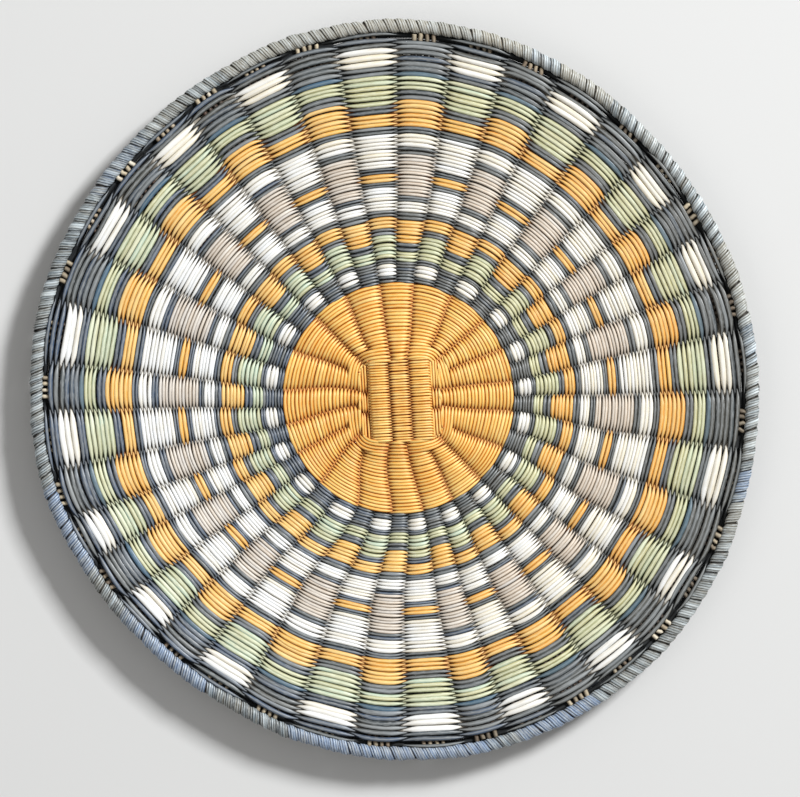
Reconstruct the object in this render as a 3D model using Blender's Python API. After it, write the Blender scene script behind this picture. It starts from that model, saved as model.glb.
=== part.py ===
# Coiled-rim wicker plaque: bundled ribs, two sets of wefts and a bound rim.
# Metres, +Z up. The plaque lies face up on its flat middle.

import math

import bmesh
import bpy
from mathutils import Vector

# Rim
RIM_OUTER_R = 0.1785
RIM_ROLL_R = 0.0031
RIM_WALL = 0.0009
RIM_CORE_R = 0.0015
RIM_CORE_STEPS = 60
RIM_WRAPS = 60
WRAP_GROOVE = 0.0004
LIP_HALF_DEG = 46.0
RIM_RISE = 0.0120
RISE_POWER = 1.6

# Weave
DISC_R = 0.0566
PANEL_TO_DISC = 0.0072
WEAVE_RIM_GAP = 0.0030
COLUMN_SETTLE_SHARE = 0.43
WEFT_THICK = 0.0010
WEFT_CREST = 0.0024
WEFT_GAP = 0.0004
CROSSING_SHARE = 0.46
FIRST_ZONE_SHARES = (0.0, 0.087, 0.165, 0.294, 0.359, 0.532, 0.619, 0.758, 0.848, 1.0)
SECOND_ZONE_SHARES = (0.0, 0.100, 0.225, 0.299, 0.394, 0.472, 0.610, 0.727, 0.883, 1.0)
FIRST_DISC_SHARES = (0.0, 0.23, 0.60, 1.0)
SECOND_DISC_SHARES = (0.0, 0.42, 0.82, 1.0)

# Ribs
RIB_THICK = 0.0020
RIB_PITCH_SHARE = 0.50
RIB_DISC_SHARE = 0.36
RIB_TIP_GAP = 0.0012
RIB_MAX_W = 0.0108
RIB_SPLIT_W = 0.0034
RIB_GAP = 0.0003
SPLIT_BEFORE = 0.0011
SPLIT_AFTER = 0.0019
RIB_END_SHARE = 0.70
INSIDE_SHARES = (0.0, 0.15, 0.29, 0.46, 1.0)
OUTSIDE_SHARES = (0.0, 0.24, 0.60, 1.0)

# Centre panels
PANEL_SHIFT_X = 0.0010
PANEL_SHIFT_Y = -0.0013
PANEL_LEAN_DEG = 3.7
PANEL_HALF_L = 0.0178
PANEL_RIB_PITCH = 0.0098
PANEL_RIB_W = 0.0030
PANEL_END_U = 0.0139
PANEL_PASSES = 8
PANEL_PASS_GAP = 0.0005
TURN_HALF_W = 0.0008
PANEL_CREST = 0.0018
PANEL_STACK_GAP = 0.0003
BUMP_END_SHARE = 0.38
BUMP_NEAR_SHARE = 0.5
BUMP_H = 0.0016

# Centre of the rings against the centre of the rim
DISC_SHIFT_X = 0.0019
DISC_SHIFT_Y = -0.0039

# Out-of-round of the rim, as shares of its radius, every 15 degrees from +X
RIM_WAVE_SHARES = (
    -0.0044, -0.0082, -0.0119, -0.0098, 0.0011, 0.0105, 0.0135, 0.0067,
    -0.0045, -0.0098, -0.0077, -0.0012, -0.0040, -0.0019, -0.0181, -0.0251,
    -0.0221, -0.0047, 0.0106, 0.0225, 0.0235, 0.0263, 0.0172, 0.0013,
)

# Edges of the rib columns in degrees from +X: at the first disc round,
# at the disc edge, and of the forty columns of the field
INNER_EDGE_DEG = (
    350.5, 371.0, 389.0, 404.0, 418.0, 439.0, 461.0, 482.0, 496.0, 511.0,
    530.0, 550.0, 569.0, 583.0, 597.0, 619.0, 640.0, 661.0, 676.0, 691.0,
)
DISC_EDGE_DEG = (
    353.4, 368.4, 385.4, 402.4, 422.6, 442.5, 459.5, 477.7, 495.9, 515.8,
    536.0, 553.6, 568.8, 587.3, 609.2, 626.8, 642.4, 658.0, 675.0, 694.6,
)
FIELD_EDGE_DEG = (
    350.2, 360.0, 369.8, 378.5, 386.8, 394.6, 403.0, 412.5, 422.3, 431.3,
    440.5, 450.0, 459.8, 469.0, 478.3, 487.2, 496.2, 505.4, 515.2, 525.2,
    535.4, 543.5, 553.0, 561.6, 569.1, 577.5, 585.6, 594.0, 603.5, 613.3,
    623.1, 631.7, 641.0, 648.5, 656.5, 665.2, 674.1, 682.2, 690.6, 700.1,
)
TURN_DEG = 360.0
HALF_SHARE = 0.5
DISC_COLUMNS = len(DISC_EDGE_DEG)
FIELD_COLUMNS = len(FIELD_EDGE_DEG)

# Heights that follow from the weave
FIELD_MID_Z = WEFT_CREST + WEFT_THICK * HALF_SHARE
PANEL_HALF_H = PANEL_CREST + WEFT_THICK * HALF_SHARE
LOWER_PANEL_Z = PANEL_HALF_H
UPPER_PANEL_Z = PANEL_HALF_H * 3 + PANEL_STACK_GAP
RIM_MID_R = RIM_OUTER_R - RIM_ROLL_R
WEAVE_R = RIM_MID_R - RIM_ROLL_R - WEAVE_RIM_GAP
SPLIT_START_R = DISC_R - SPLIT_BEFORE
SPLIT_END_R = DISC_R + SPLIT_AFTER
COLUMN_SETTLE_R = DISC_R + (WEAVE_R - DISC_R) * COLUMN_SETTLE_SHARE
DISC_INNER_R = PANEL_HALF_L + PANEL_TO_DISC
BUMP_END_R = DISC_INNER_R + (DISC_R - DISC_INNER_R) * BUMP_END_SHARE
RIM_MID_Z = FIELD_MID_Z + RIM_RISE

# Rib columns of the disc that belong to the two centre panels
UPPER_COLUMNS = ((6, 14), (5, 15), (4, 16))
LOWER_COLUMNS = ((9, 1), (10, 0), (11, 19))
ADDED_COLUMNS = (2, 3, 7, 8, 12, 13, 17, 18)
BESIDE_UPPER = (3, 7, 13, 17)

# Colours, linear
OCHRE = (0.80, 0.40, 0.07, 1.0)
CHARCOAL = (0.065, 0.070, 0.085, 1.0)
SAGE = (0.52, 0.60, 0.30, 1.0)
CREAM = (0.86, 0.82, 0.70, 1.0)
TAUPE = (0.50, 0.40, 0.30, 1.0)
ROD_TAN = (0.42, 0.26, 0.12, 1.0)
RIM_GREY = (0.19, 0.19, 0.18, 1.0)


def clear_scene():
    for item in list(bpy.data.objects):
        bpy.data.objects.remove(item, do_unlink=True)


def new_collection(name):
    group = bpy.data.collections.new(name)
    bpy.context.scene.collection.children.link(group)
    return group


def make_material(name, colour, roughness):
    material = bpy.data.materials.new(name)
    material.use_nodes = True
    shader = material.node_tree.nodes["Principled BSDF"]
    shader.inputs["Base Color"].default_value = colour
    shader.inputs["Roughness"].default_value = roughness
    material.diffuse_color = colour
    return material


def ease(value):
    value = min(max(value, 0.0), 1.0)
    return value * value * (3 - 2 * value)


def mix(start, end, share):
    return start + (end - start) * share


# Plan of the plaque
def edge_at(table, index):
    turns, place = divmod(index, len(table))
    return table[place] + TURN_DEG * turns


def disc_edge_deg(index, radius):
    share = ease((radius - DISC_INNER_R) / (DISC_R - DISC_INNER_R))
    return mix(edge_at(INNER_EDGE_DEG, index), edge_at(DISC_EDGE_DEG, index), share)


def disc_centre_deg(column, radius):
    return mix(disc_edge_deg(column, radius), disc_edge_deg(column + 1, radius), HALF_SHARE)


def field_edge_deg(index, radius):
    first = edge_at(DISC_EDGE_DEG, index // 2)
    last = edge_at(DISC_EDGE_DEG, (index + 1) // 2)
    share = ease((radius - DISC_R) / (COLUMN_SETTLE_R - DISC_R))
    return mix(mix(first, last, HALF_SHARE), edge_at(FIELD_EDGE_DEG, index), share)


def field_centre_deg(column, radius):
    return mix(field_edge_deg(column, radius), field_edge_deg(column + 1, radius), HALF_SHARE)


def wave_share(degrees):
    count = len(RIM_WAVE_SHARES)
    place = (degrees % TURN_DEG) / TURN_DEG * count
    index = int(place)
    share = place - index
    first = RIM_WAVE_SHARES[index % count]
    last = RIM_WAVE_SHARES[(index + 1) % count]
    return mix(first, last, ease(share))


def outward_share(radius):
    return min(max((radius - DISC_R) / (RIM_MID_R - DISC_R), 0.0), 1.0)


def plan_point(radius, degrees, height):
    share = outward_share(radius)
    reach = radius * (1 + wave_share(degrees) * share)
    angle = math.radians(degrees)
    across = DISC_SHIFT_X * (1 - share) + reach * math.cos(angle)
    along = DISC_SHIFT_Y * (1 - share) + reach * math.sin(angle)
    return Vector((across, along, height))


def field_z(radius):
    return FIELD_MID_Z + RIM_RISE * outward_share(radius) ** RISE_POWER


def is_upper(column):
    return any(column in pair for pair in UPPER_COLUMNS)


def disc_z(radius, column):
    column = column % DISC_COLUMNS
    share = ease((BUMP_END_R - radius) / (BUMP_END_R - DISC_INNER_R))
    if is_upper(column):
        return FIELD_MID_Z + BUMP_H * share
    if column in BESIDE_UPPER:
        return FIELD_MID_Z + BUMP_H * BUMP_NEAR_SHARE * share
    return FIELD_MID_Z


# Solids lofted through unlike sections
def loft(name, sections, closed, material, group):
    shape = bmesh.new()
    rings = [[shape.verts.new(point) for point in section] for section in sections]
    corners = len(rings[0])
    last = len(rings) if closed else len(rings) - 1
    for index in range(last):
        here = rings[index]
        there = rings[(index + 1) % len(rings)]
        for corner in range(corners):
            after = (corner + 1) % corners
            shape.faces.new((here[corner], here[after], there[after], there[corner]))
    if not closed:
        shape.faces.new(rings[0])
        shape.faces.new(list(reversed(rings[-1])))
    bmesh.ops.recalc_face_normals(shape, faces=shape.faces)
    mesh = bpy.data.meshes.new(name)
    shape.to_mesh(mesh)
    shape.free()
    piece = bpy.data.objects.new(name, mesh)
    piece.data.materials.append(material)
    group.objects.link(piece)
    return piece


# Wefts: one closed band for each colour zone of each set
def crossing_bands(first_edges, second_edges):
    zones = []
    for family, edges in enumerate((first_edges, second_edges)):
        for index in range(len(edges) - 1):
            zones.append((edges[index] + edges[index + 1], family, index))
    zones.sort()
    places = {}
    start = first_edges[0]
    for _, family, index in zones:
        edges = (first_edges, second_edges)[family]
        width = (edges[index + 1] - edges[index]) * HALF_SHARE
        middle = start + width * HALF_SHARE
        reach = width * CROSSING_SHARE * HALF_SHARE
        places[(family, index)] = (middle - reach, middle + reach)
        start += width
    return places


def band_section(radii, degrees, heights):
    lower = [height - WEFT_THICK * HALF_SHARE for height in heights]
    upper = [height + WEFT_THICK * HALF_SHARE for height in heights]
    return [
        plan_point(radii[0], degrees[0], lower[0]),
        plan_point(radii[1], degrees[1], lower[1]),
        plan_point(radii[1], degrees[1], upper[1]),
        plan_point(radii[0], degrees[0], upper[0]),
    ]


def field_band(crest_radii, crossing_radii, over_parity):
    sections = []
    for column in range(FIELD_COLUMNS):
        degrees = [field_edge_deg(column, radius) for radius in crossing_radii]
        heights = [field_z(radius) for radius in crossing_radii]
        sections.append(band_section(crossing_radii, degrees, heights))
        side = 1 if column % 2 == over_parity else -1
        degrees = [field_centre_deg(column, radius) for radius in crest_radii]
        heights = [field_z(radius) + WEFT_CREST * side for radius in crest_radii]
        sections.append(band_section(crest_radii, degrees, heights))
    return sections


def disc_band(crest_radii, crossing_radii, over_parity):
    sections = []
    for column in range(DISC_COLUMNS):
        degrees = [disc_edge_deg(column, radius) for radius in crossing_radii]
        heights = [
            mix(disc_z(radius, column - 1), disc_z(radius, column), HALF_SHARE)
            for radius in crossing_radii
        ]
        sections.append(band_section(crossing_radii, degrees, heights))
        side = 1 if column % 2 == over_parity else -1
        degrees = [disc_centre_deg(column, radius) for radius in crest_radii]
        heights = [disc_z(radius, column) + WEFT_CREST * side for radius in crest_radii]
        sections.append(band_section(crest_radii, degrees, heights))
    return sections


def trimmed(inner, outer):
    return (inner + WEFT_GAP * HALF_SHARE, outer - WEFT_GAP * HALF_SHARE)


def zone_edges(shares, inner, outer):
    return [mix(inner, outer, share) for share in shares]


def build_wefts(kind, tables, limits, band_maker, materials, group):
    edge_sets = [zone_edges(table, limits[0], limits[1]) for table in tables]
    crossings = crossing_bands(edge_sets[0], edge_sets[1])
    for family, letter in enumerate("ab"):
        edges = edge_sets[family]
        for index in range(len(edges) - 1):
            crest = trimmed(edges[index], edges[index + 1])
            crossing = crossings[(family, index)]
            sections = band_maker(crest, crossing, family)
            label, material = materials[family][index]
            name = f"{kind}_{letter}{index + 1}_{label}"
            loft(name, sections, True, material, group)


# Ribs: flat bundles, thick in the middle and thin at the edges
def rib_section(middle, across, width, thick):
    edge = across * (width * HALF_SHARE)
    rise = Vector((0, 0, thick * HALF_SHARE))
    return [middle - edge, middle - rise, middle + edge, middle + rise]


def rib_width(field_column, radius):
    if radius > SPLIT_END_R:
        pitch = math.tau * radius / FIELD_COLUMNS
        return min(pitch * RIB_PITCH_SHARE, RIB_MAX_W)
    column = field_column // 2
    inside = min(radius, DISC_R)
    span = disc_edge_deg(column + 1, inside) - disc_edge_deg(column, inside)
    pitch = math.radians(span) * radius
    return min(pitch * RIB_DISC_SHARE * HALF_SHARE, RIB_SPLIT_W)


def half_side(field_column):
    return 1 if field_column % 2 else -1


def half_angle(field_column, radius):
    disc_column = field_column // 2
    offset = (rib_width(field_column, radius) + RIB_GAP) * HALF_SHARE / radius
    inside = disc_centre_deg(disc_column, min(radius, DISC_R))
    inside += math.degrees(offset) * half_side(field_column)
    outside = field_centre_deg(field_column, max(radius, DISC_R))
    share = ease((radius - SPLIT_START_R) / (SPLIT_END_R - SPLIT_START_R))
    return mix(inside, outside, share)


def half_z(field_column, radius):
    if radius < DISC_R:
        return disc_z(radius, field_column // 2)
    return field_z(radius)


def arm_radii():
    inside = [mix(DISC_INNER_R, SPLIT_START_R, share) for share in INSIDE_SHARES]
    outside = [mix(SPLIT_END_R, WEAVE_R, share) for share in OUTSIDE_SHARES]
    return inside + outside


def arm_sections(field_column, radii):
    sections = []
    for radius in radii:
        degrees = half_angle(field_column, radius)
        middle = plan_point(radius, degrees, half_z(field_column, radius))
        angle = math.radians(degrees)
        across = Vector((-math.sin(angle), math.cos(angle), 0))
        wide = rib_width(field_column, radius)
        sections.append(rib_section(middle, across, wide, RIB_THICK))
    tip_r = RIM_MID_R - RIM_CORE_R - RIB_TIP_GAP
    degrees = half_angle(field_column, tip_r)
    middle = plan_point(tip_r, degrees, field_z(tip_r))
    angle = math.radians(degrees)
    across = Vector((-math.sin(angle), math.cos(angle), 0))
    tip_w = rib_width(field_column, tip_r) * RIB_END_SHARE
    sections.append(rib_section(middle, across, tip_w, RIB_THICK * RIB_END_SHARE))
    return sections


def panel_frame(upper):
    lean = math.radians(PANEL_LEAN_DEG)
    along = Vector((-math.sin(lean), math.cos(lean), 0))
    across = Vector((math.cos(lean), math.sin(lean), 0))
    if not upper:
        along, across = across, along
    centre_x = DISC_SHIFT_X + PANEL_SHIFT_X
    centre_y = DISC_SHIFT_Y + PANEL_SHIFT_Y
    height = UPPER_PANEL_Z if upper else LOWER_PANEL_Z
    return Vector((centre_x, centre_y, height)), across, along


def panel_rib_sections(upper, offset, flip):
    centre, across, along = panel_frame(upper)
    sections = []
    for end in (-1, 1):
        middle = centre + across * offset + along * (PANEL_HALF_L * end)
        sections.append(rib_section(middle, across * flip, PANEL_RIB_W, RIB_THICK))
    return sections


# A through rib: its two bundles run side by side over the disc and part at its edge
def through_rib(label, pair, upper, place, material, group):
    start_column, end_column = pair
    step = (PANEL_RIB_W + RIB_GAP) * HALF_SHARE
    for side in (-1, 1):
        offset = place * PANEL_RIB_PITCH + step * side
        # the bundle on the +side of the panel: which half it is at either end
        end_half = 0 if side < 0 else 1
        if upper:
            top = start_column * 2 + (1 - end_half)
            bottom = end_column * 2 + end_half
            first, last, flip = bottom, top, -1
        else:
            left = start_column * 2 + (1 - end_half)
            right = end_column * 2 + end_half
            first, last, flip = left, right, 1
        inner = list(reversed(arm_sections(first, arm_radii())))
        inner = [mirrored(section) for section in inner]
        middle = panel_rib_sections(upper, offset, flip)
        outer = arm_sections(last, arm_radii())
        name = f"rib_{label}_{'a' if side < 0 else 'b'}"
        loft(name, inner + middle + outer, False, material, group)


# A section seen from the other side, so that a loft can pass through the centre
def mirrored(section):
    return [section[2], section[1], section[0], section[3]]


def added_rib(label, disc_column, material, group):
    for half in (0, 1):
        field_column = disc_column * 2 + half
        sections = arm_sections(field_column, arm_radii())
        name = f"rib_{label}_{'ab'[half]}"
        loft(name, sections, False, material, group)


def build_ribs(material, group):
    places = (-1, 0, 1)
    for place, pair in zip(places, UPPER_COLUMNS):
        through_rib(f"upper_{place + 2}", pair, True, place, material, group)
    for place, pair in zip((1, 0, -1), LOWER_COLUMNS):
        through_rib(f"lower_{place + 2}", pair, False, place, material, group)
    for index, column in enumerate(ADDED_COLUMNS):
        added_rib(f"added_{index + 1}", column, material, group)


# The weft of a centre panel: one strand that runs to and fro over and under three ribs
def panel_weft(name, upper, material, group):
    centre, across, along = panel_frame(upper)
    pitch = PANEL_HALF_L * 2 / PANEL_PASSES
    wide = (pitch - PANEL_PASS_GAP) * HALF_SHARE
    edge = PANEL_RIB_W + RIB_GAP
    sections = []
    for index in range(PANEL_PASSES):
        run = 1 if index % 2 == 0 else -1
        v = -PANEL_HALF_L + (index + HALF_SHARE) * pitch
        if index > 0:
            sections.append(turn_section(centre, across, along, run, v, -1))
        for step in (-1, 0, 1):
            side = 1 if (step + index) % 2 == 0 else -1
            for reach in (-1, 1):
                u = (step * PANEL_RIB_PITCH + reach * edge) * run
                height = PANEL_CREST * side
                point = centre + across * u + along * v
                point += Vector((0, 0, height))
                sections.append(flat_section(point, along * run, wide))
        if index < PANEL_PASSES - 1:
            sections.append(turn_section(centre, across, along, run, v, 1))
    loft(name, sections, False, material, group)


def flat_section(middle, sideways, half_width):
    edge = sideways * half_width
    rise = Vector((0, 0, WEFT_THICK * HALF_SHARE))
    return [middle - edge - rise, middle + edge - rise, middle + edge + rise, middle - edge + rise]


def turn_section(centre, across, along, run, v, end):
    u = PANEL_END_U * run * end
    middle = centre + across * u + along * v
    sideways = (along * run - across * end).normalized()
    return flat_section(middle, sideways, TURN_HALF_W)


# Rim: a core hoop inside a binding that is open towards the weave
def rim_core(material, group):
    path = bpy.data.curves.new("rim_core_path", "CURVE")
    path.dimensions = "3D"
    path.bevel_depth = RIM_CORE_R
    path.bevel_resolution = 1
    spline = path.splines.new("POLY")
    spline.points.add(RIM_CORE_STEPS - 1)
    spline.use_cyclic_u = True
    for index in range(RIM_CORE_STEPS):
        degrees = TURN_DEG * index / RIM_CORE_STEPS
        point = plan_point(RIM_MID_R, degrees, RIM_MID_Z)
        spline.points[index].co = (point.x, point.y, point.z, 1)
    hoop = bpy.data.objects.new("rim_core", path)
    hoop.data.materials.append(material)
    group.objects.link(hoop)


def binding_section(degrees, outer):
    inner = RIM_ROLL_R - RIM_WALL
    swing = (LIP_HALF_DEG, 113.0, 180.0, 247.0, TURN_DEG - LIP_HALF_DEG)
    points = []
    for lip in swing:
        points.append(roll_point(degrees, outer, lip))
    for lip in reversed(swing):
        points.append(roll_point(degrees, inner, lip))
    return points


# lip angle 0 faces the weave, 90 faces up
def roll_point(degrees, reach, lip):
    angle = math.radians(lip)
    radius = RIM_MID_R
    middle = plan_point(radius, degrees, RIM_MID_Z)
    outward = Vector((math.cos(math.radians(degrees)), math.sin(math.radians(degrees)), 0))
    return middle - outward * (reach * math.cos(angle)) + Vector((0, 0, reach * math.sin(angle)))


def rim_binding(material, group):
    sections = []
    for index in range(RIM_WRAPS):
        degrees = TURN_DEG * index / RIM_WRAPS
        sections.append(binding_section(degrees, RIM_ROLL_R - WRAP_GROOVE))
        degrees += TURN_DEG / RIM_WRAPS * HALF_SHARE
        sections.append(binding_section(degrees, RIM_ROLL_R))
    loft("rim_binding", sections, True, material, group)


def main():
    clear_scene()
    group = new_collection("wicker_plaque")
    ochre = make_material("weft_ochre", OCHRE, 0.55)
    charcoal = make_material("weft_charcoal", CHARCOAL, 0.6)
    sage = make_material("weft_sage", SAGE, 0.55)
    cream = make_material("weft_cream", CREAM, 0.5)
    taupe = make_material("weft_taupe", TAUPE, 0.6)
    rod = make_material("rib_rod", ROD_TAN, 0.6)
    grey = make_material("rim_strip", RIM_GREY, 0.65)
    first = (
        ("check", charcoal), ("sage", sage), ("ochre", ochre), ("cream", cream),
        ("taupe", taupe), ("cream", cream), ("ochre", ochre), ("sage", sage),
        ("check", charcoal),
    )
    second = (
        ("check", cream), ("sage", sage), ("ochre", ochre), ("cream", cream),
        ("ochre", ochre), ("cream", cream), ("ochre", ochre), ("sage", sage),
        ("check", cream),
    )
    disc = (("ochre", ochre), ("ochre", ochre), ("ochre", ochre))
    build_ribs(rod, group)
    panel_weft("panel_weft_lower", False, ochre, group)
    panel_weft("panel_weft_upper", True, ochre, group)
    build_wefts(
        "disc_weft", (FIRST_DISC_SHARES, SECOND_DISC_SHARES),
        (DISC_INNER_R, DISC_R - WEFT_GAP), disc_band, (disc, disc), group,
    )
    build_wefts(
        "field_weft", (FIRST_ZONE_SHARES, SECOND_ZONE_SHARES),
        (DISC_R, WEAVE_R), field_band, (first, second), group,
    )
    rim_core(rod, group)
    rim_binding(grey, group)


main()
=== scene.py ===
import math

import bpy
import numpy as np
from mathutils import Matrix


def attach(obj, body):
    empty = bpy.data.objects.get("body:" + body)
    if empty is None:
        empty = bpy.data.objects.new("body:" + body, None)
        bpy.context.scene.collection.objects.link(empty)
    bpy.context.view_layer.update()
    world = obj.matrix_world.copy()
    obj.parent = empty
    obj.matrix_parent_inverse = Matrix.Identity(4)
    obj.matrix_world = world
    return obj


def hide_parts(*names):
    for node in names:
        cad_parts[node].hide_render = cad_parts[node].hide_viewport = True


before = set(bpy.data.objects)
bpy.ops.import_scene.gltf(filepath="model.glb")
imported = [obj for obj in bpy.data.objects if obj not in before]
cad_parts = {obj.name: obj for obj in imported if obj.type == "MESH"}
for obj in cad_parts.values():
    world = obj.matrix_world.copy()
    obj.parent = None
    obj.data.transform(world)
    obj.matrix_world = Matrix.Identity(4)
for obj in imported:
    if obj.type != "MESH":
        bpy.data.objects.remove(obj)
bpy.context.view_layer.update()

# Sizes are in millimetres, and angles in degrees anticlockwise from +X
MM = 0.001
# Millimetres per pixel of the photo
PX = 0.488

# Sizes of the plaque, as in the solids
RIM_OUTER_R = 178.5
RIM_ROLL_R = 3.1
RIM_MID_R = RIM_OUTER_R - RIM_ROLL_R
RIM_RISE = 12.0
RISE_POWER = 1.6
DISC_R = 56.6
DISC_INNER_R = 25.0
COLUMN_SETTLE_R = 105.0
MID_Z = 2.9
RIM_MID_Z = MID_Z + RIM_RISE
DISC_SHIFT = (1.9, -3.9)
PANEL_SHIFT = (1.0, -1.3)
PANEL_LEAN_DEG = 3.7
PANEL_HALF_L = 20.1
PANEL_HALF_W = 15.0
PANEL_RIB_PITCH = 9.8
LOWER_Z = 2.4
UPPER_Z = 6.5

# The rim in the photo, which isn't quite round: angle, and radius in pixels, from a point that is
# READ_FROM_PX beside the plaque's centre, to the right and up. The points at 15, 75, 105, 132,
# 170, 212 and 288 degrees may be estimates
RIM_POINTS = np.array((
    (0, 359), (15, 359), (30, 359), (45, 361), (62, 367), (75, 371), (90, 373), (105, 371),
    (120, 367), (132, 365), (145, 364), (160, 367), (170, 365.5), (180, 364), (190, 366),
    (200, 360), (212, 355), (225, 352), (240, 352), (250, 356), (268, 361), (275, 365),
    (288, 366), (300, 366), (322, 368), (340, 361), (355, 358),
))
READ_FROM_PX = (2.5, -5.0)
WAVE_STEPS = 24
WAVE_DECIMALS = 4

# Angles of the lines between columns: at the disc's start, at its edge, and in the field
INNER_EDGES = np.array((
    350.5, 371.0, 389.0, 404.0, 418.0, 439.0, 461.0, 482.0, 496.0, 511.0,
    530.0, 550.0, 569.0, 583.0, 597.0, 619.0, 640.0, 661.0, 676.0, 691.0,
))
DISC_EDGES = np.array((
    353.4, 368.4, 385.4, 402.4, 422.6, 442.5, 459.5, 477.7, 495.9, 515.8,
    536.0, 553.6, 568.8, 587.3, 609.2, 626.8, 642.4, 658.0, 675.0, 694.6,
))
FIELD_EDGES = np.array((
    350.2, 360.0, 369.8, 378.5, 386.8, 394.6, 403.0, 412.5, 422.3, 431.3,
    440.5, 450.0, 459.8, 469.0, 478.3, 487.2, 496.2, 505.4, 515.2, 525.2,
    535.4, 543.5, 553.0, 561.6, 569.1, 577.5, 585.6, 594.0, 603.5, 613.3,
    623.1, 631.7, 641.0, 648.5, 656.5, 665.2, 674.1, 682.2, 690.6, 700.1,
))
DISC_COLUMNS = len(DISC_EDGES)
FIELD_COLUMNS = len(FIELD_EDGES)

# Disc columns at the two ends of each through rib, those with an added rib, and those of them
# that are beside an upper rib
UPPER_COLUMNS = ((6, 14), (5, 15), (4, 16))
LOWER_COLUMNS = ((9, 1), (10, 0), (11, 19))
ADDED_COLUMNS = (2, 3, 7, 8, 12, 13, 17, 18)
BESIDE_UPPER = (3, 7, 13, 17)
UPPER_SET = {column for pair in UPPER_COLUMNS for column in pair}
LOWER_SET = {column for pair in LOWER_COLUMNS for column in pair}

# Rounds of each weft set, from the disc edge outwards: colour and number
FIRST_ROUNDS = (
    ("dark", 7), ("sage", 3), ("dark", 2), ("ochre", 6), ("dark", 2), ("cream", 3),
    ("dark", 2), ("taupe", 12), ("dark", 2), ("cream", 3), ("dark", 2), ("ochre", 6),
    ("dark", 2), ("sage", 3), ("teal", 1), ("dark", 6),
)
SECOND_ROUNDS = (
    ("dark", 2), ("cream", 3), ("dark", 2), ("sage", 6), ("dark", 2), ("ochre", 3),
    ("dark", 2), ("cream", 7), ("dark", 2), ("ochre", 2), ("dark", 2), ("cream", 9),
    ("dark", 2), ("ochre", 3), ("dark", 2), ("sage", 6), ("dark", 2), ("cream", 3),
    ("dark", 2),
)
# Radii where the colours change, at round numbers counted from the disc edge
FIRST_MARKS = np.array((0, 7, 10, 12, 18, 20, 23, 25, 37, 39, 42, 44, 50, 52, 55, 62))
FIRST_RADII = PX * np.array((
    116, 136, 146, 154, 176.5, 184, 194, 199.5, 239, 246, 259, 265, 291, 300, 312, 347,
))
SECOND_MARKS = np.array((
    0, 2, 5, 7, 13, 15, 18, 20, 27, 29, 31, 33, 42, 44, 47, 49, 55, 57, 60, 62,
))
SECOND_RADII = PX * np.array((
    116, 122, 134, 139, 162, 168, 179, 185, 207, 212, 220, 225, 257, 264, 276, 284,
    312, 320, 337, 347,
))
# Colour zones of each set, one node each: their labels, and the rounds where they start and end
FIRST_NODES = ("check", "sage", "ochre", "cream", "taupe", "cream", "ochre", "sage", "check")
FIRST_SPLITS = (0, 7, 12, 20, 25, 37, 42, 50, 55, 62)
SECOND_NODES = ("check", "sage", "ochre", "cream", "ochre", "cream", "ochre", "sage", "check")
SECOND_SPLITS = (0, 7, 15, 20, 27, 33, 42, 49, 57, 62)
FIELD_ROUNDS = FIRST_SPLITS[-1]
DISC_ROUNDS = 21
DISC_SPLITS = ((0, 5, 13, 21), (0, 9, 17, 21))

# The last dark round beside the rim
EXTRA_R = 171.3
EXTRA_CROSS_R = EXTRA_R - 0.3
EXTRA_PITCH = 1.9

# Plain rounds that lie under the outer zone, painted near black as painted shade. Their tone:
# points in a stretch, spread, middle
PLAIN_RADII = (166.6, 168.7, 170.7, 172.6)
PLAIN_DROP = 1.8
PLAIN_HALF_W = 1.05
PLAIN_HALF_T = 0.5
PLAIN_JITTER = 0.12
PLAIN_TONE = (12, 0.15, 0.1)

# Places of a round's crests and crossings in its pitch, for the first and the second set
CREST_PLACES = (0.42, 0.58)
CROSS_PLACES = (0.25, 0.75)
# The higher, the longer a round keeps its crest's radius before it turns to the crossing
RADIUS_POWER = 3
# Half thickness of a stem at a crossing and at a crest
TIP_HALF_T = 0.34
CREST_HALF_T = 0.58
# Sides of a stem's section, and how square it is
SIDES = 8
STEM_SQUARE = 0.12

Z_AXIS = np.array((0.0, 0.0, 1.0))


def ease(value):
    value = np.clip(value, 0.0, 1.0)
    return value * value * (3 - 2 * value)


def mix(start, end, share):
    return start + (end - start) * share


def unit(vectors):
    return vectors / np.maximum(np.linalg.norm(vectors, axis=-1, keepdims=True), 1e-12)


# Places on the plaque
def rim_wave():
    """The rim's wave at even angles, as shares of its mean radius, rounded as in the solids."""
    read_at = np.radians(RIM_POINTS[:, 0])
    east = READ_FROM_PX[0] + RIM_POINTS[:, 1] * np.cos(read_at)
    north = READ_FROM_PX[1] + RIM_POINTS[:, 1] * np.sin(read_at)
    steps = np.arange(WAVE_STEPS) * 360.0 / WAVE_STEPS
    at = np.degrees(np.arctan2(north, east))
    radii = np.interp(steps, at, np.hypot(east, north), period=360.0)
    return np.round(radii / radii.mean() - 1.0, WAVE_DECIMALS)


RIM_WAVE = rim_wave()


def wave(degrees):
    """How far the rim stands in or out of a circle, as a share of the radius."""
    count = len(RIM_WAVE)
    place = (np.asarray(degrees) % 360.0) / 360.0 * count
    index = np.floor(place).astype(int)
    share = ease(place - index)
    return mix(RIM_WAVE[index % count], RIM_WAVE[(index + 1) % count], share)


def outward(radius):
    """0 in the disc, 1 at the rim."""
    return np.clip((np.asarray(radius) - DISC_R) / (RIM_MID_R - DISC_R), 0.0, 1.0)


def plan(radius, degrees, height):
    share = outward(radius)
    reach = radius * (1 + wave(degrees) * share)
    angle = np.radians(degrees)
    across = DISC_SHIFT[0] * (1 - share) + reach * np.cos(angle)
    along = DISC_SHIFT[1] * (1 - share) + reach * np.sin(angle)
    return np.stack((across, along, height + 0 * across), axis=-1)


def field_z(radius):
    return MID_Z + RIM_RISE * outward(radius) ** RISE_POWER


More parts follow.
